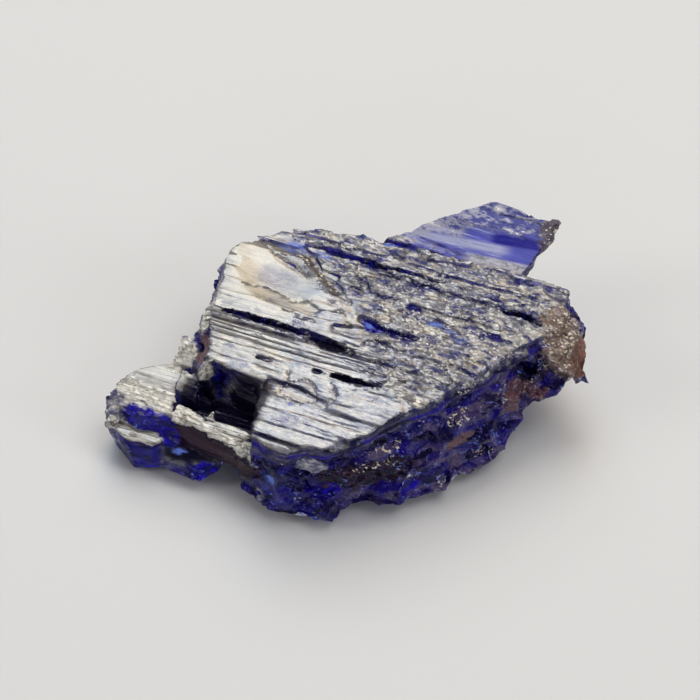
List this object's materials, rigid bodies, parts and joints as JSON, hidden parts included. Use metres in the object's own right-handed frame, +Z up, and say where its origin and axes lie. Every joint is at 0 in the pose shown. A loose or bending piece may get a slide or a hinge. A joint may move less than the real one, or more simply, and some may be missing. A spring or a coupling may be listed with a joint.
{
  "type": "rough tanzanite crystal",
  "caption": "Rough violet-blue tanzanite fragment: a striated silvery face over broken glassy sides, with a foot at one end and a thin blade at the other.",
  "frame": {"origin": "middle of the bounding box in plan, on the surface that the stone rests on", "axes": "+Z up from the resting spot; +X along the growth striations, towards the glassy horn; +Y towards the blade"},
  "size_m": [0.024, 0.0202, 0.0072],
  "materials": {
    "tanzanite": "clear deep violet-blue crystal; striated face with a silvery lustre, glassy broken sides"
  },
  "bodies": {
    "root": {"rough_tanzanite": "tanzanite"}
  },
  "joints": []
}
